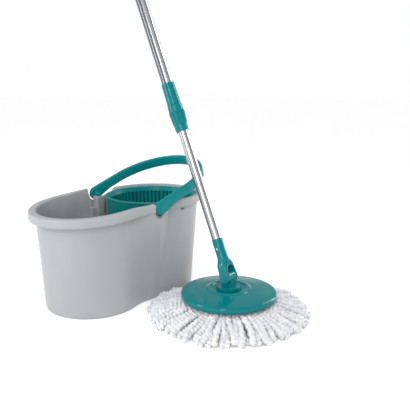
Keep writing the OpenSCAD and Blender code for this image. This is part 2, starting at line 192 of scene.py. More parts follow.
def lathe(profile, steps, centre=(0.0, 0.0)):
    """Points and faces of a profile of (r, z) turned about a vertical axis."""
    verts = []
    for r, z in profile:
        for i in range(steps):
            a = 2 * math.pi * i / steps
            verts.append((centre[0] + r * math.cos(a), centre[1] + r * math.sin(a), z))
    return verts, grid_faces(len(profile), steps, True)


def closed_lathe(profile, steps, centre=(0.0, 0.0)):
    """As lathe, with the profile joined back to its start."""
    return lathe(list(profile) + [profile[0]], steps, centre)


def join_parts(parts):
    verts, faces = [], []
    for v, f in parts:
        shift = len(verts)
        verts += v
        faces += [tuple(i + shift for i in face) for face in f]
    return verts, faces


def carve(obj, cutter, round_edge):
    """Cuts one closed mesh out of another, rounds the sharp edges and keeps the result."""
    cut = obj.modifiers.new("cut", "BOOLEAN")
    cut.operation = "DIFFERENCE"
    cut.solver = "EXACT"
    cut.object = cutter
    if round_edge:
        edge = obj.modifiers.new("edge", "BEVEL")
        edge.width = round_edge * MM
        edge.segments = 2
        edge.limit_method = "ANGLE"
        edge.angle_limit = math.radians(50.0)
    made = bpy.data.meshes.new_from_object(obj.evaluated_get(bpy.context.evaluated_depsgraph_get()))
    obj.modifiers.clear()
    obj.data = made
    made.shade_smooth()
    made.set_sharp_from_angle(angle=math.radians(40.0))
    bpy.data.objects.remove(cutter)


def rounded_rect(w, h, r, steps=5):
    """Outline of a rounded rectangle, centred, as (a, b) points."""
    r = min(r, w / 2 - 0.01, h / 2 - 0.01)
    out = []
    for k, (sx, sy) in enumerate([(1, 1), (-1, 1), (-1, -1), (1, -1)]):
        for i in range(steps + 1):
            a = math.pi / 2 * (k + i / steps)
            out.append((sx * (w / 2 - r) + r * math.cos(a), sy * (h / 2 - r) + r * math.sin(a)))
    return out


# ---------------------------------------------------------------- materials
def srgb(r, g, b):
    def line(c):
        c /= 255.0
        return c / 12.92 if c <= 0.04045 else ((c + 0.055) / 1.055) ** 2.4
    return (line(r), line(g), line(b), 1.0)


class Look:
    """A node material with a few short ways to add procedural detail."""

    def __init__(self, name):
        self.mat = bpy.data.materials.new(name)
        self.mat.use_nodes = True
        self.tree = self.mat.node_tree
        self.shader = self.tree.nodes["Principled BSDF"]
        coords = self.tree.nodes.new("ShaderNodeTexCoord")
        self.coords = coords.outputs["Object"]

    def noise(self, scale, detail=4.0, stretch=None):
        node = self.tree.nodes.new("ShaderNodeTexNoise")
        node.inputs["Scale"].default_value = scale
        node.inputs["Detail"].default_value = detail
        source = self.coords
        if stretch:
            mapping = self.tree.nodes.new("ShaderNodeMapping")
            mapping.inputs["Scale"].default_value = stretch
            self.tree.links.new(source, mapping.inputs["Vector"])
            source = mapping.outputs["Vector"]
        self.tree.links.new(source, node.inputs["Vector"])
        return node.outputs["Fac"]

    def spread(self, value, low, high, start=0.3, end=0.7):
        node = self.tree.nodes.new("ShaderNodeMapRange")
        node.inputs["From Min"].default_value = start
        node.inputs["From Max"].default_value = end
        node.inputs["To Min"].default_value = low
        node.inputs["To Max"].default_value = high
        self.tree.links.new(value, node.inputs["Value"])
        return node.outputs["Result"]

    def tint(self, value, low, high, start=0.3, end=0.7):
        node = self.tree.nodes.new("ShaderNodeMix")
        node.data_type = "RGBA"
        node.inputs["A"].default_value = low
        node.inputs["B"].default_value = high
        self.tree.links.new(self.spread(value, 0.0, 1.0, start, end), node.inputs["Factor"])
        self.tree.links.new(node.outputs["Result"], self.shader.inputs["Base Color"])

    def rough(self, value, low, high):
        self.tree.links.new(self.spread(value, low, high), self.shader.inputs["Roughness"])

    def bump(self, heights, distance):
        """Stacked bumps: heights is a list of (output, strength)."""
        normal = None
        for value, strength in heights:
            node = self.tree.nodes.new("ShaderNodeBump")
            node.inputs["Strength"].default_value = strength
            node.inputs["Distance"].default_value = distance
            self.tree.links.new(value, node.inputs["Height"])
            if normal:
                self.tree.links.new(normal, node.inputs["Normal"])
            normal = node.outputs["Normal"]
        self.tree.links.new(normal, self.shader.inputs["Normal"])

    def set(self, **values):
        names = {"metallic": "Metallic", "ior": "IOR", "coat": "Coat Weight",
                 "coat_rough": "Coat Roughness", "sheen": "Sheen Weight",
                 "sheen_rough": "Sheen Roughness", "specular": "Specular IOR Level"}
        for key, value in values.items():
            self.shader.inputs[names[key]].default_value = value
        return self


def moulded(name, dark, light, rough_low, rough_high, grain=1400.0, grain_depth=0.00004, coat=0.0):
    """Injection-moulded plastic: faint flow clouds, fine grain and uneven gloss."""
    look = Look(name)
    flow = look.noise(9.0, 3.0, (1.0, 1.0, 0.35))
    fine = look.noise(grain, 2.0)
    smear = look.noise(34.0, 5.0)
    look.tint(flow, dark, light)
    look.rough(smear, rough_low, rough_high)
    look.bump([(fine, 0.35), (smear, 0.05)], grain_depth)
    look.set(specular=0.14, coat=coat, coat_rough=0.06)
    return look.mat


def polished_tube(name):
    """Stainless tube: bright metal with painted reflections, light and dark lines of colour that run
    along the leaning pole.
    """
    look = Look(name)
    tree = look.tree
    c, s = math.cos(POLE_TURN), math.sin(POLE_TURN)
    lean_c, lean_s = math.cos(POLE_LEAN), math.sin(POLE_LEAN)
    axes = (
        ("X", (c, s, 0.0), 1.0),
        ("Y", (-s * lean_c, c * lean_c, -lean_s), 1.0),
        ("Z", (-s * lean_s, c * lean_s, lean_c), 0.006),
    )
    local = tree.nodes.new("ShaderNodeCombineXYZ")
    off_axis = tree.nodes.new("ShaderNodeVectorMath")
    off_axis.operation = "SUBTRACT"
    off_axis.inputs[1].default_value = (MOP_X * MM, MOP_Y * MM, HINGE_Z * MM)
    tree.links.new(look.coords, off_axis.inputs[0])
    for socket, axis, scale in axes:
        dot = tree.nodes.new("ShaderNodeVectorMath")
        dot.operation = "DOT_PRODUCT"
        dot.inputs[1].default_value = [a * scale for a in axis]
        tree.links.new(off_axis.outputs["Vector"], dot.inputs[0])
        tree.links.new(dot.outputs["Value"], local.inputs[socket])
        if socket == "X":
            across = dot.outputs["Value"]
    look.coords = local.outputs["Vector"]
    fine = look.noise(1500.0, 3.0)
    place = look.spread(across, 0.0, 1.0, -TUBE_R * MM, TUBE_R * MM)
    # The lines are colour fixed to the tube. They stand in for reflections of a busier room
    painted_reflection_ramp = tree.nodes.new("ShaderNodeValToRGB")
    stops = ((0.0, 96), (0.07, 150), (0.14, 226), (0.27, 206), (0.33, 128), (0.39, 214), (0.50, 240),
             (0.60, 160), (0.68, 206), (0.80, 228), (0.90, 176), (1.0, 120))
    ramp = painted_reflection_ramp.color_ramp
    while len(ramp.elements) < len(stops):
        ramp.elements.new(0.5)
    for element, (at, grey) in zip(ramp.elements, stops):
        element.position = at
        element.color = srgb(grey, grey + 2, grey + 5)
    tree.links.new(place, painted_reflection_ramp.inputs["Fac"])
    tree.links.new(painted_reflection_ramp.outputs["Color"], look.shader.inputs["Base Color"])
    look.rough(fine, 0.20, 0.32)
    look.bump([(fine, 0.02)], 0.0001)
    look.set(metallic=1.0)
    return look.mat


def plain_steel(name):
    """Zinc-plated small part."""
    look = Look(name)
    spots = look.noise(420.0, 4.0)
    look.tint(spots, srgb(168, 172, 176), srgb(202, 205, 208))
    look.rough(spots, 0.26, 0.42)
    look.bump([(spots, 0.2)], 0.00003)
    look.set(metallic=1.0)
    return look.mat


def yarn(name):
    """Chunky microfibre: small looped lumps with a soft sheen."""
    look = Look(name)
    loops = look.tree.nodes.new("ShaderNodeTexVoronoi")
    loops.inputs["Scale"].default_value = 420.0
    look.tree.links.new(look.coords, loops.inputs["Vector"])
    fuzz = look.noise(1500.0, 3.0)
    patch = look.noise(60.0, 2.0)
    look.tint(patch, srgb(190, 192, 196), srgb(211, 212, 214))
    look.rough(fuzz, 0.85, 1.0)
    look.bump([(loops.outputs["Distance"], 0.35), (fuzz, 0.2)], 0.0004)
    look.set(sheen=0.35, sheen_rough=0.5, specular=0.15)
    return look.mat


GREY = moulded("bucket_plastic", srgb(146, 148, 151), srgb(156, 158, 160), 0.28, 0.40)
TEAL = moulded("teal_plastic", srgb(0, 102, 107), srgb(0, 111, 116), 0.09, 0.15, 1400.0, 0.00001, 0.20)
HANDLE_TEAL = moulded("handle_plastic", srgb(0, 110, 113), srgb(0, 120, 122), 0.26, 0.38)
DARK_TEAL = moulded("dark_teal_plastic", srgb(0, 98, 94), srgb(0, 107, 103), 0.32, 0.46)
NYLON = moulded("white_plastic", srgb(226, 226, 222), srgb(236, 236, 232), 0.38, 0.5)
TUBE = polished_tube("tube_steel")
STEEL = plain_steel("small_steel")
YARN = yarn("microfibre")

SLOT_LOOKS = {
    "bucket_plastic": GREY, "teal_plastic": TEAL, "handle_plastic": HANDLE_TEAL,
    "dark_teal_plastic": DARK_TEAL, "tube_steel": TUBE, "small_steel": STEEL,
    "white_plastic": NYLON, "microfibre": YARN,
}


def dress_cad_nodes():
    """Give every CAD node the look of its record slot."""
    for part in frame["record"]["subparts"]:
        node = frame["nodes"][part["node"]]
        for holder in node.material_slots:
            holder.material = SLOT_LOOKS[part["material_slot"]]
        if not node.material_slots:
            node.data.materials.append(SLOT_LOOKS[part["material_slot"]])


# ---------------------------------------------------------------- bucket
def wash_radius(z):
    return WASH_R0 + (WASH_R1 - WASH_R0) * z / PIVOT_Z


def spin_radius(z):
    return SPIN_R0 + (SPIN_R1 - SPIN_R0) * z / SPIN_RIM_Z


def edge_and_foot(z):
    """Where the flare ends at height z, and where the recess beyond it ends."""
    t = min(max((z - EDGE_LOW_Z) / (NOTCH_Z - EDGE_LOW_Z), 0.0), 1.0)
    return lerp(EDGE_LOW_X, EDGE_TOP_X, t), lerp(FOOT_LOW_X, FOOT_TOP_X, t)


def slid(x, z):
    """Slides a column sideways, so that one column runs along the flare's slanting edge."""
    edge, foot = edge_and_foot(z)
    stops = ((-60.0, -60.0), (EDGE_TOP_X, edge), (FOOT_TOP_X, foot), (SPIN_X, SPIN_X))
    for (a, ra), (b, rb) in zip(stops, stops[1:]):
        if a <= x <= b:
            return lerp(ra, rb, (x - a) / (b - a))
    return x


def plain_half_width(x, z):
    """Half width of the two lobes and the waist, without the flare."""
    rw, rs = wash_radius(z), spin_radius(z)
    dw, ds = rw * rw - (x - WASH_X) ** 2, rs * rs - (x - SPIN_X) ** 2
    wash = math.sqrt(dw) if dw > 0 else -200.0
    spin = math.sqrt(ds) if ds > 0 else -200.0
    if dw <= 0 and ds <= 0:
        return 0.0
    waist = lerp(WAIST_Y0, WAIST_Y1, z / PIVOT_Z)
    waist -= 400.0 * smoothstep(0.0, 90.0, WASH_X - x) + 400.0 * smoothstep(0.0, 90.0, x - SPIN_X)
    return soft_max(soft_max(wash, spin, 8.0), waist, 14.0)


def flare_half_width(x, z):
    """The flare beside the waist that carries the handle's pivot."""
    plan = lerp(FLARE_Y - 12.0, FLARE_Y, smoothstep(FLARE_X0, -4.0, x)) if x > FLARE_X0 else -200.0
    slant = lerp(FLARE_LOW_Y, FLARE_Y, (z - FLARE_Z) / (NOTCH_Z - FLARE_Z))
    return soft_min(plan, slant, 8.0)


def wall_half_width(x, z):
    """Half width of the outer wall at x and height z."""
    edge, foot = edge_and_foot(z)
    if x <= edge:
        return soft_max(plain_half_width(x, z), flare_half_width(x, z), 6.0)
    if x >= foot:
        return plain_half_width(x, z)
    start = soft_max(plain_half_width(edge, z), flare_half_width(edge, z), 6.0)
    return lerp(start, plain_half_width(foot, z), (x - edge) / (foot - edge))


def rim_height(x):
    """Height of the rim: up to the waist, down round the handle's end, and up to run level."""
    if x < RIM_END:
        corner = max(x - RIM_END + RIM_CORNER, 0.0)
        return WASH_RIM_Z + RIM_SLOPE * x - RIM_CORNER + math.sqrt(RIM_CORNER ** 2 - corner ** 2)
    if x < PIVOT_X - POCKET_R:
        return PIVOT_Z
    if x < PIVOT_X:
        return PIVOT_Z - math.sqrt(POCKET_R ** 2 - (x - PIVOT_X) ** 2)
    if x < NOTCH_X0:
        return NOTCH_Z
    return min(SPIN_RIM_Z, lerp(NOTCH_Z, SPIN_RIM_Z, (x - NOTCH_X0) / (NOTCH_X1 - NOTCH_X0)))


def rim_share(x):
    """How far the rim stands out at x: full, or none beside the handle pivot."""
    if x < RIM_END:
        return 1.0
    return smoothstep(20.0, 44.0, x)


def rim_columns():
    """Positions along the bucket, closer together at its ends and at its edges."""
    low, high = WASH_X - WASH_R1, SPIN_X + SPIN_R1
    mid, half, n = (low + high) / 2, (high - low) / 2, 120
    xs = [mid - half * math.cos(math.pi * i / n) for i in range(n + 1)]
    xs += [RIM_END - RIM_CORNER * (1.0 - math.sin(math.radians(a))) for a in range(0, 90, 10)]
    xs += [PIVOT_X - POCKET_R * math.cos(math.radians(a)) for a in range(0, 90, 10)]
    xs += [RIM_END - 0.05, RIM_END + 0.05, EDGE_TOP_X - 0.9, EDGE_TOP_X, EDGE_TOP_X + 1.2]
    xs += [NOTCH_X0, FOOT_TOP_X, NOTCH_X1]
    xs = sorted(xs)
    return [x for i, x in enumerate(xs) if i == 0 or x - xs[i - 1] > 0.08]


def at_level(x, z, inset):
    """The wall's point for the column x at height z, pulled in by inset."""
    if x < WASH_X:
        return WASH_X + (x - WASH_X) * (wash_radius(z) - inset) / WASH_R1
    if x > SPIN_X:
        return SPIN_X + (x - SPIN_X) * (spin_radius(z) - inset) / SPIN_R1
    return slid(x, z)


def wall_point(x, z, inset=0.0):
    real_x = at_level(x, z, inset)
    if x < WASH_X:
        r = wash_radius(z) - inset
        return real_x, math.sqrt(max(r * r - (real_x - WASH_X) ** 2, 0.0))
    if x > SPIN_X:
        r = spin_radius(z) - inset
        return real_x, math.sqrt(max(r * r - (real_x - SPIN_X) ** 2, 0.0))
    return real_x, wall_half_width(real_x, z) - inset


def rim_point(x):
    """The rim's outer edge for the column x."""
    wx, wy = wall_point(x, rim_height(x))
    if x < WASH_X:
        scale = RIM_R / math.hypot(wx - WASH_X, wy)
        return WASH_X + (wx - WASH_X) * scale, wy * scale
    if x < RIM_END:
        return x, RIM_R
    scale = BAND_R / max(math.hypot(wx - SPIN_X, wy), 1.0)
    ox, oy = SPIN_X + (wx - SPIN_X) * scale, wy * scale
    share = rim_share(x)
    if x > 44.0:
        return ox, oy
    return wx, max(wy, lerp(wy, max(oy, wy + 1.0), share))


def bucket_column(x):
    """The section of the shell at x, from under the floor, over the rim, to the inner floor."""
    top = rim_height(x)
    share = rim_share(x)
    ox, oy = rim_point(x)
    wx, wy = wall_point(x, top)
    reach = math.hypot(ox - wx, oy - wy)

    def out(distance, z):
        """A point at a distance inside the rim's outer edge."""
        t = 1.0 - min(distance / reach, 1.0) if reach > 0.3 else 0.0
        return lerp(wx, ox, t), lerp(wy, oy, t), z

    points = []
    for inset, z in ((14.0, 3.0), (13.0, 0.6), (11.5, 0.0), (4.0, 0.0), (1.4, 0.8), (0.3, 2.6)):
        points.append((*wall_point(x, z, inset), z))
    depth = RIM_H * share
    under = top - RIM_T * max(share, 0.3)
    rows = 26
    for i in range(rows + 1):
        z = lerp(6.0, under, i / rows)
        points.append((*wall_point(x, z), z))
    points += [
        out(WALL + 0.6, under), out(WALL, under - 0.6 * share),
        out(WALL, top - depth + 1.0 * share), out(WALL * 0.75, top - depth + 0.2 * share),
        out(WALL * 0.5, top - depth), out(0.4, top - depth + 0.3 * share),
        out(0.0, top - depth + 1.4 * share), out(0.0, top - 4.5), out(0.0, top - 3.4),
        out(0.3, top - 2.2), out(1.0, top - 1.1), out(2.2, top - 0.35), out(3.6, top),
    ]
    for inset, drop in ((0.2, 0.0), (1.2, 0.15), (2.0, 0.7), (WALL, 1.8)):
        points.append((*wall_point(x, top, inset), top - drop))
    for i in range(rows + 1):
        z = lerp(top - 3.0, 12.0, i / rows)
        points.append((*wall_point(x, z, WALL), z))
    for inset, z in ((3.2, 8.6), (5.0, 6.7), (8.0, 6.0), (14.0, 6.0)):
        points.append((*wall_point(x, z, inset), z))
    return points


def make_bucket():
    xs = rim_columns()
    columns = [bucket_column(x) for x in xs]
    ring = columns + [[(px, -py, pz) for px, py, pz in c] for c in reversed(columns)]
    rows = len(columns[0])
    verts = [column[r] for r in range(rows) for column in ring]
    faces = grid_faces(rows, len(ring), True)
    # Under floor and inner floor are closed with strips from side to side
    n = len(xs)
    count = len(ring)
    for row in (0, rows - 1):
        base = row * count
        for c in range(n - 1):
            faces.append((base + c, base + c + 1, base + count - 2 - c, base + count - 1 - c))
    shell = make_object("bucket_shell", verts, faces, GREY, 0.02, 40.0)
    cut_tab_slots(shell)
    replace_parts(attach(shell, "bucket"), "bucket")


def cut_tab_slots(shell):
    """Three slots under the spin lobe's band, where the basket housing clicks in."""
    parts = []
    for angle in TAB_ANGLES:
        c, s = math.cos(math.radians(angle)), math.sin(math.radians(angle))
        corners = []
        for z in (TAB_Z, TAB_Z + TAB_H):
            for r, w in ((94.0, -TAB_W / 2), (112.0, -TAB_W / 2), (112.0, TAB_W / 2), (94.0, TAB_W / 2)):
                corners.append((SPIN_X + r * c - w * s, r * s + w * c, z))
        parts.append((corners, grid_faces(2, 4, True) + [(0, 1, 2, 3), (4, 5, 6, 7)]))
    cutter = make_object("slot_cutter", *join_parts(parts), GREY, 0.001)
    carve(shell, cutter, 0.0)


def flare_block(side, x0, x1, inner, top):
    """A block with a rounded face that grows out of the flare's inner side."""
    rows, low = 12, FLARE_Z + BLOCK_FOOT
    verts = []
    for i in range(rows + 1):
        z = lerp(low, top, i / rows)
        for x, push in ((x0, 1.2), (x0 + 1.2, 0.0), (x1 - 1.2, 0.0), (x1, 1.2), (x1, None), (x0, None)):
            back = min(wall_half_width(x, min(z, NOTCH_Z)) - 1.2, HANDLE_Y - HANDLE_T - 0.5)
            y = back if push is None else min(inner + push, back - 0.3)
            verts.append((x, side * y, z))
    faces = grid_faces(rows + 1, 6, True)
    faces += [tuple(range(6)), tuple(rows * 6 + i for i in range(6))]
    return verts, faces


def make_pivot_blocks():
    """Blocks inside the flare: a tall one cradles the handle's peg, a low one stiffens it."""
    for side, tag in ((-1, "near"), (1, "far")):
        start, end = PIVOT_X - BOSS_R, PIVOT_X + BOSS_R
        tall = flare_block(side, start, end, BOSS_IN, PIVOT_Z - CRADLE_DROP)
        low = flare_block(side, PIVOT_X - 2.5 * BOSS_R, start + 0.5, BOSS_IN + 4.0, LOW_BLOCK_Z)
        block = make_object(f"pivot_block_{tag}", *join_parts((tall, low)), GREY, 0.002, 30.0)
        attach(block, "bucket")


# ---------------------------------------------------------------- handle
def handle_station(s):
    """Centre, outward direction and place along the arm of the band at the distance s."""
    turn = HANDLE_Y - HANDLE_T / 2
    bend = math.pi * turn
    if s <= HANDLE_ARM:
        return (s, -turn), (0.0, -1.0), s
    if s >= HANDLE_ARM + bend:
        x = HANDLE_ARM - (s - HANDLE_ARM - bend)
        return (x, turn), (0.0, 1.0), x
    a = (s - HANDLE_ARM) / turn - math.pi / 2
    return (HANDLE_ARM + turn * math.cos(a), turn * math.sin(a)), (math.cos(a), math.sin(a)), HANDLE_ARM


def handle_edges(x):
    """Lower and upper edge of the band, measured from the pivot, at x along the arm."""
    low, high = HANDLE_RISE - HANDLE_H / 2, HANDLE_RISE + HANDLE_H / 2
    circle = math.sqrt(max(HANDLE_END ** 2 - x * x, 0.0)) if x < 0 else HANDLE_END
    t = smoothstep(-2.0, 46.0, x)
    if x < 0:
        return -circle, circle * lerp(1.0, high / HANDLE_END, smoothstep(-12.0, 0.0, x))
    return lerp(-HANDLE_END, low, t), high


def make_handle():
    turn = HANDLE_Y - HANDLE_T / 2
    length = 2 * HANDLE_ARM + math.pi * turn
    ends = [-HANDLE_END + d for d in (0.05, 0.4, 1.2, 2.4, 4.2, 6.5, 9.5)]
    stations = ends + [i * length / 150 for i in range(151)] + [length - e for e in reversed(ends)]
    cos_r, sin_r = math.cos(HANDLE_REST), math.sin(HANDLE_REST)
    verts = []
    for s in stations:
        (cx, cy), (nx, ny), x = handle_station(s)
        low, high = handle_edges(x)
        width = HANDLE_T * lerp(0.75, 1.0, smoothstep(-HANDLE_END, -HANDLE_END + 3.0, x))
        for a, b in rounded_rect(width, high - low, HANDLE_EDGE_R, 5):
            lx, ly = cx + nx * a, cy + ny * a
            lz = (low + high) / 2 + b
            verts.append((PIVOT_X + lx * cos_r - lz * sin_r, ly, PIVOT_Z + lx * sin_r + lz * cos_r))
    count = len(rounded_rect(HANDLE_T, HANDLE_H, HANDLE_EDGE_R, 5))
    rows = len(stations)
    faces = grid_faces(rows, count, True)
    faces.append(tuple(range(count)))
    faces.append(tuple((rows - 1) * count + i for i in range(count)))
    band = make_object("handle_band", verts, faces, HANDLE_TEAL, 0.02, 50.0)
    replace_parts(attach(band, "handle"), "handle")
    for side, tag in ((-1, "near"), (1, "far")):
        profile = [(0.1, 94.6), (3.6, 94.6), (4.6, 95.4), (5.0, 96.4), (5.0, 107.0), (0.1, 107.0)]
        verts, faces = lathe(profile, 40)
        verts = [(PIVOT_X + a, side * y, PIVOT_Z + b) for a, b, y in verts]
        peg = make_object(f"handle_peg_{tag}", verts, faces, HANDLE_TEAL, 0.3, 40.0)
        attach(peg, "handle")


# ---------------------------------------------------------------- basket
def basket_radius(z):
    """Outer radius of the spinning basket's cone."""
    return lerp(BASKET_LOW_R, BASKET_R, min((z - BASKET_FLOOR) / 81.0, 1.0))


def basket_rib(angle, z_low, z_high):
    """One upright rib with a rounded inner face."""
    width, depth = 6.5, 3.0
    section = [(-width / 2, 0.0), (width / 2, 0.0), (width / 2, 1.4), (width * 0.36, 2.7),
               (width * 0.16, depth), (-width * 0.16, depth), (-width * 0.36, 2.7), (-width / 2, 1.4)]
    verts = []
    steps = 8
    for i in range(steps + 1):
        z = lerp(z_low, z_high, i / steps)
        r = basket_radius(z) - 0.6
        for a, b in section:
            x, y = r - b, a
            verts.append((SPIN_X + x * math.cos(angle) - y * math.sin(angle),
                          x * math.sin(angle) + y * math.cos(angle), z))
    faces = grid_faces(steps + 1, len(section), True)
    faces.append(tuple(range(len(section))))
    faces.append(tuple(steps * len(section) + i for i in range(len(section))))
    return verts, faces


def make_basket():
    centre = (SPIN_X, 0.0)
    band_low = BASKET_TOP - 10.0
    r_band = basket_radius(band_low)
    top = [
        (r_band, band_low), (BASKET_R, band_low + 3), (BASKET_R, BASKET_TOP - 2.6),
        (LIP_R - 0.8, BASKET_TOP - 2.6), (LIP_R - 0.1, BASKET_TOP - 1.9), (LIP_R, BASKET_TOP - 1.0),
        (LIP_R - 0.5, BASKET_TOP - 0.2), (LIP_R - 1.4, BASKET_TOP), (BASKET_R - 0.8, BASKET_TOP),
        (BASKET_R - 1.8, BASKET_TOP - 0.4), (BASKET_R - 2.5, BASKET_TOP - 1.6),
        (BASKET_R - 2.9, band_low + 1.2), (BASKET_R - 3.6, band_low + 0.2), (BASKET_R - 3.6, band_low),
    ]
    floor_r = basket_radius(BASKET_FLOOR + 10)
    bottom = [
        (16.0, BASKET_FLOOR), (BASKET_LOW_R - 2, BASKET_FLOOR), (BASKET_LOW_R, BASKET_FLOOR + 1),
        (floor_r, BASKET_FLOOR + 10), (floor_r - 3.4, BASKET_FLOOR + 10),
        (BASKET_LOW_R - 4, BASKET_FLOOR + 3.6), (BASKET_LOW_R - 6, BASKET_FLOOR + 3),
        (20.0, BASKET_FLOOR + 3), (16.5, BASKET_FLOOR + 5), (15.6, BASKET_FLOOR + 30),
        (9.0, BASKET_FLOOR + 30), (9.0, BASKET_FLOOR),
    ]
    hoop_z = lerp(BASKET_FLOOR, BASKET_TOP, 0.42)
    hoop_r = basket_radius(hoop_z)
    hoop = [
        (hoop_r, hoop_z - 2), (hoop_r, hoop_z + 2),
        (hoop_r - 1.8, hoop_z + 2), (hoop_r - 1.8, hoop_z - 2),
    ]
    parts = [
        closed_lathe(top, 192, centre), closed_lathe(bottom, 96, centre),
        closed_lathe(hoop, 128, centre),
    ]
    for i in range(RIB_COUNT):
        parts.append(basket_rib(2 * math.pi * i / RIB_COUNT, BASKET_FLOOR + 8, band_low + 0.6))
    for i in range(10):
        a = 2 * math.pi * i / 10
        spoke = []
        for r in (17.0, BASKET_LOW_R - 5):
            for dx, dz in ((-1.5, 3.0), (1.5, 3.0), (1.1, 6.0), (-1.1, 6.0)):
                spoke.append((SPIN_X + r * math.cos(a) - dx * math.sin(a),
                              r * math.sin(a) + dx * math.cos(a), BASKET_FLOOR + dz))
        parts.append((spoke, grid_faces(2, 4, True) + [(0, 1, 2, 3), (4, 5, 6, 7)]))
    verts, faces = join_parts(parts)
    body = make_object("basket_body", verts, faces, HANDLE_TEAL, 0.002, 40.0)
    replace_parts(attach(body, "basket"), "spin_basket")


# ---------------------------------------------------------------- mop head
def mop_place(points):
    """Points about the mop's axis, moved to where the mop stands."""
    c, s = math.cos(POLE_TURN), math.sin(POLE_TURN)
    return [(MOP_X + x * c - y * s, MOP_Y + x * s + y * c, z) for x, y, z in points]


def pole_place(points):
    """Points about the pole, with the hinge at the origin, moved onto the leaning pole."""
    c, s = math.cos(POLE_LEAN), math.sin(POLE_LEAN)
    return mop_place([(x, y * c + z * s, HINGE_Z - y * s + z * c) for x, y, z in points])


def make_disc():
    """Low glossy dome with a rolled edge and a raised ring round the turret."""
    z = DISC_Z
    top = smooth_curve([
        (DISC_R - 2.4, z + 0.1), (DISC_R - 0.8, z + 0.7), (DISC_R, z + 2.4), (DISC_R, z + 8.0),
        (DISC_R - 0.5, z + 10.3), (DISC_R - 2.0, z + 12.0), (DISC_R - 4.6, z + 12.9),
        (82.0, z + 13.6), (70.0, z + 14.9), (58.0, z + 16.2), (48.0, z + 17.0),
        (43.5, z + 17.6), (41.0, z + 19.2),
        (38.5, z + 19.9), (36.0, z + 19.3), (34.0, z + 17.5), (31.5, z + 16.4), (27.0, z + 16.2),
        (25.0, z + 16.2),
    ], 5)
    under = [
        (24.6, z + 15.6), (24.6, z + 10.2), (27.2, z + 10.2), (27.6, z + 12.6), (48.0, z + 13.4),
        (82.0, z + 8.6), (87.6, z + 6.0), (88.6, z + 3.0), (88.8, z + 0.6),
    ]
    verts, faces = closed_lathe(top + under, 160, (MOP_X, MOP_Y))
    cover = make_object("head_cover", verts, faces, TEAL, 0.01, 50.0)
    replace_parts(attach(cover, "mop_disc"), "disc_cover")


def make_socket():
    """Round socket that spreads into a two-cheeked fork with an arched gap."""
    sections = []

    def add(z, half_x, half_y, corner):
        outline = rounded_rect(2 * half_x, 2 * half_y, corner, 8)
        sections.append([(a, b, z) for a, b in outline])

    r = 10.5
    add(77.0, r - 1.2, r - 1.2, r)
    add(76.7, r - 0.4, r - 0.4, r)
    add(76.0, r, r, r)
    add(58.0, r, r, r)
    add(42.0, r, r, r)
    add(37.0, r + 0.5, r, 9.8)
    add(33.0, r + 2.0, r, 8.6)
    add(29.0, r + 4.0, r, 7.0)
    add(25.0, r + 5.1, r, 5.4)
    add(20.0, 15.8, r, 4.4)
    add(12.0, 15.9, r + 0.2, 3.6)
    add(4.0, 15.9, r + 0.5, 3.0)
    for a in (-0.1, -0.35, -0.6, -0.85, -1.1, -1.3, -1.45):
        add(11.5 * math.sin(a), 15.9 - 1.2 * smoothstep(0.9, 1.5, -a), 11.3 * math.cos(a), 2.6)
    count = len(sections[0])
    verts = [p for section in sections for p in section]
    faces = grid_faces(len(sections), count, True)
    faces.append(tuple(range(count)))
    faces.append(tuple((len(sections) - 1) * count + i for i in range(count)))
    fork = make_object("pole_fork", pole_place(verts), faces, TEAL, 0.01, 45.0)
    # The gap between the cheeks: an arch that runs right through the fork
    gap, arch = 10.9, []
    for i in range(17):
        a = math.pi * i / 16
        arch.append((gap * math.cos(a), 11.5 + gap * math.sin(a)))
    arch += [(-gap, -30.0), (gap, -30.0)]
    cutter_points = [(x, y, z) for y in (-40.0, 40.0) for x, z in arch]
    n = len(arch)
    cutter_faces = grid_faces(2, n, True) + [tuple(range(n)), tuple(range(n, 2 * n))]
    cutter = make_object("gap_cutter", pole_place(cutter_points), cutter_faces, TEAL, 0.001)
    carve(fork, cutter, 0.9)
    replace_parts(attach(fork, "lower_pole"), "pole_socket")


# ---------------------------------------------------------------- strands
def free_reach(angle, reach):
    """Shortens a strand that points at the bucket, so that it stops short of the wall."""
    while reach > STRAND_SHORTEST:
        x, y = MOP_X + reach * math.cos(angle), MOP_Y + reach * math.sin(angle)
        clear_of_spin = math.hypot(x - SPIN_X, y) > SPIN_R0 + STRAND_GAP
        clear_of_wash = math.hypot(x - WASH_X, y) > WASH_R0 + STRAND_GAP
        if clear_of_spin and clear_of_wash:
            break
        reach -= 1.0
    return reach


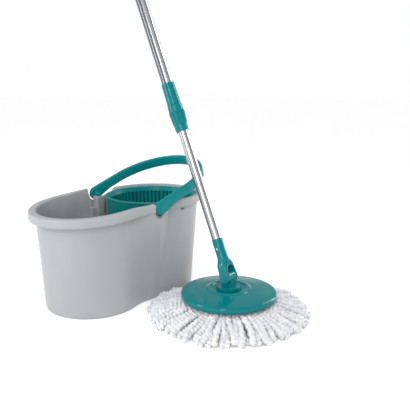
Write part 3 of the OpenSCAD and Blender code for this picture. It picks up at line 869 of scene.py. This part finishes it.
def strand(rng, angle, start_r, end_r, start_z, end_z, thickness):
    """One knobbly twisted strand that leaves the head and bends down to the floor."""
    sides, rings = 9, 62
    wander = rng.uniform(-0.055, 0.055)
    curl = rng.uniform(-0.02, 0.02)
    phase = rng.uniform(0, 2 * math.pi)
    pitch = rng.uniform(0.36, 0.46)
    sag = rng.uniform(-2.0, 2.0)
    centres = []
    for i in range(rings):
        t = i / (rings - 1)
        r = lerp(start_r, end_r, 1.0 - (1.0 - t) ** 1.15)
        a = angle + wander * t * t + curl * math.sin(6.0 * t + phase)
        z = lerp(start_z, end_z, t ** 1.25) + sag * math.sin(math.pi * t)
        z += 0.8 * math.sin(9.0 * t + phase) - 3.0 * smoothstep(0.86, 1.0, t)
        centres.append(Vector((r * math.cos(a), r * math.sin(a), z)))
    verts = []
    for i, c in enumerate(centres):
        t = i / (rings - 1)
        ahead = (centres[min(i + 1, rings - 1)] - centres[max(i - 1, 0)]).normalized()
        side = ahead.cross(Vector((0, 0, 1))).normalized()
        up = side.cross(ahead)
        along = t * (end_r - start_r)
        tip = math.sqrt(max(1.0 - max((t - 0.95) / 0.05, 0.0) ** 2 * 0.97, 0.0))
        for k in range(sides):
            f = 2 * math.pi * k / sides
            lump = 0.15 * math.cos(2 * (f - along * pitch * 0.5 - phase))
            lump += 0.22 * math.sin(along * 0.86 + phase + math.sin(f))
            lump += 0.06 * math.sin(along * 1.9 + 3 * f - phase)
            p = c + (side * math.cos(f) + up * math.sin(f)) * thickness * tip * (0.95 + lump)
            verts.append((p.x, p.y, max(p.z, 0.2)))
    faces = grid_faces(rings, sides, True)
    faces.append(tuple(range(sides)))
    faces.append(tuple((rings - 1) * sides + i for i in range(sides)))
    return verts, faces


def make_strands():
    """Three layers of strands, gripped under the head and spread over the floor."""
    rng = random.Random(7)
    layers = (
        # count, start radius, end radius, start height, end height, thickness
        (66, 66.0, STRAND_R - 2.0, 28.0, 9.5, 5.3),
        (70, 60.0, STRAND_R, 20.0, 6.2, 5.4),
        (64, 52.0, STRAND_R - 14.0, 11.0, 5.4, 5.2),
    )
    for n, (count, r0, r1, z0, z1, thick) in enumerate(layers):
        parts = []
        for i in range(count):
            a = 2 * math.pi * (i + 0.5 * n) / count + rng.uniform(-0.02, 0.02)
            end = free_reach(a, r1 + rng.uniform(-8.0, 2.0))
            parts.append(strand(rng, a, r0, end, z0 + rng.uniform(-1.2, 0.8),
                                z1 + rng.uniform(-1.0, 1.5), thick * rng.uniform(0.88, 1.08)))
        verts, faces = join_parts(parts)
        verts = [(MOP_X + x, MOP_Y + y, z) for x, y, z in verts]
        layer = make_object(f"strand_layer_{n + 1}", verts, faces, YARN, 0.0005, 180.0)
        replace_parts(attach(layer, "mop_disc"), "strands")


# ---------------------------------------------------------------- studio
def make_floor():
    mesh = bpy.data.meshes.new("floor")
    size = 12.0
    corners = [(-size, -size, 0), (size, -size, 0), (size, size, 0), (-size, size, 0)]
    mesh.from_pydata(corners, [], [(0, 1, 2, 3)])
    look = Look("studio_floor")
    look.tint(look.noise(3.0, 2.0), srgb(244, 244, 244), srgb(249, 249, 249))
    look.shader.inputs["Emission Color"].default_value = (1.0, 1.0, 1.0, 1.0)
    look.shader.inputs["Emission Strength"].default_value = 0.15
    look.shader.inputs["Roughness"].default_value = 0.6
    look.set(specular=0.1)
    mesh.materials.append(look.mat)
    floor = bpy.data.objects.new("floor", mesh)
    bpy.context.scene.collection.objects.link(floor)


def make_lamp(name, at, aim, size, power):
    data = bpy.data.lights.new(name, "AREA")
    data.shape = "RECTANGLE"
    data.size = size[0]
    data.size_y = size[1]
    data.energy = power
    lamp = bpy.data.objects.new(name, data)
    bpy.context.scene.collection.objects.link(lamp)
    lamp.location = at
    lamp.visible_camera = False
    lamp.rotation_euler = (Vector(aim) - Vector(at)).to_track_quat("-Z", "Y").to_euler()


def make_world():
    """A bright low horizon under a dimmer sky, so that glossy parts keep their colour."""
    world = bpy.data.worlds.new("studio")
    world.use_nodes = True
    tree = world.node_tree
    coords = tree.nodes.new("ShaderNodeTexCoord")
    split = tree.nodes.new("ShaderNodeSeparateXYZ")
    height = tree.nodes.new("ShaderNodeMapRange")
    height.interpolation_type = "SMOOTHSTEP"
    height.inputs["From Min"].default_value = HORIZON_LOW
    height.inputs["From Max"].default_value = HORIZON_HIGH
    height.inputs["To Min"].default_value = HORIZON_LIGHT
    height.inputs["To Max"].default_value = SKY_LIGHT
    tree.links.new(coords.outputs["Generated"], split.inputs["Vector"])
    tree.links.new(split.outputs["Z"], height.inputs["Value"])
    tree.links.new(height.outputs["Result"], tree.nodes["Background"].inputs["Strength"])
    tree.nodes["Background"].inputs["Color"].default_value = (1.0, 1.0, 1.0, 1.0)
    bpy.context.scene.world = world


def make_studio():
    make_floor()
    make_world()
    bpy.context.scene.view_settings.view_transform = "Standard"
    # The wide overhead light is left out of reflections, so that the teal keeps its colour
    sky = bpy.data.lights.new("overhead", "SUN")
    sky.energy = 1.5
    sky.angle = math.radians(70.0)
    lamp = bpy.data.objects.new("overhead", sky)
    lamp.rotation_euler = (math.radians(18.0), math.radians(-24.0), 0.0)
    lamp.visible_glossy = False
    bpy.context.scene.collection.objects.link(lamp)
    make_lamp("front_strip", (-1.35, -1.05, 0.75), (0.03, -0.15, 0.30), (0.28, 1.2), 11.0)
    make_lamp("right_strip", (1.40, -0.50, 0.72), (0.08, -0.25, 0.15), (0.34, 1.2), 12.0)
    make_lamp("left_strip", (-1.30, 0.55, 0.70), (0.0, -0.10, 0.20), (0.30, 1.2), 10.0)


dress_cad_nodes()
make_bucket()
make_pivot_blocks()
make_handle()
make_basket()
make_disc()
make_socket()
make_strands()
make_studio()
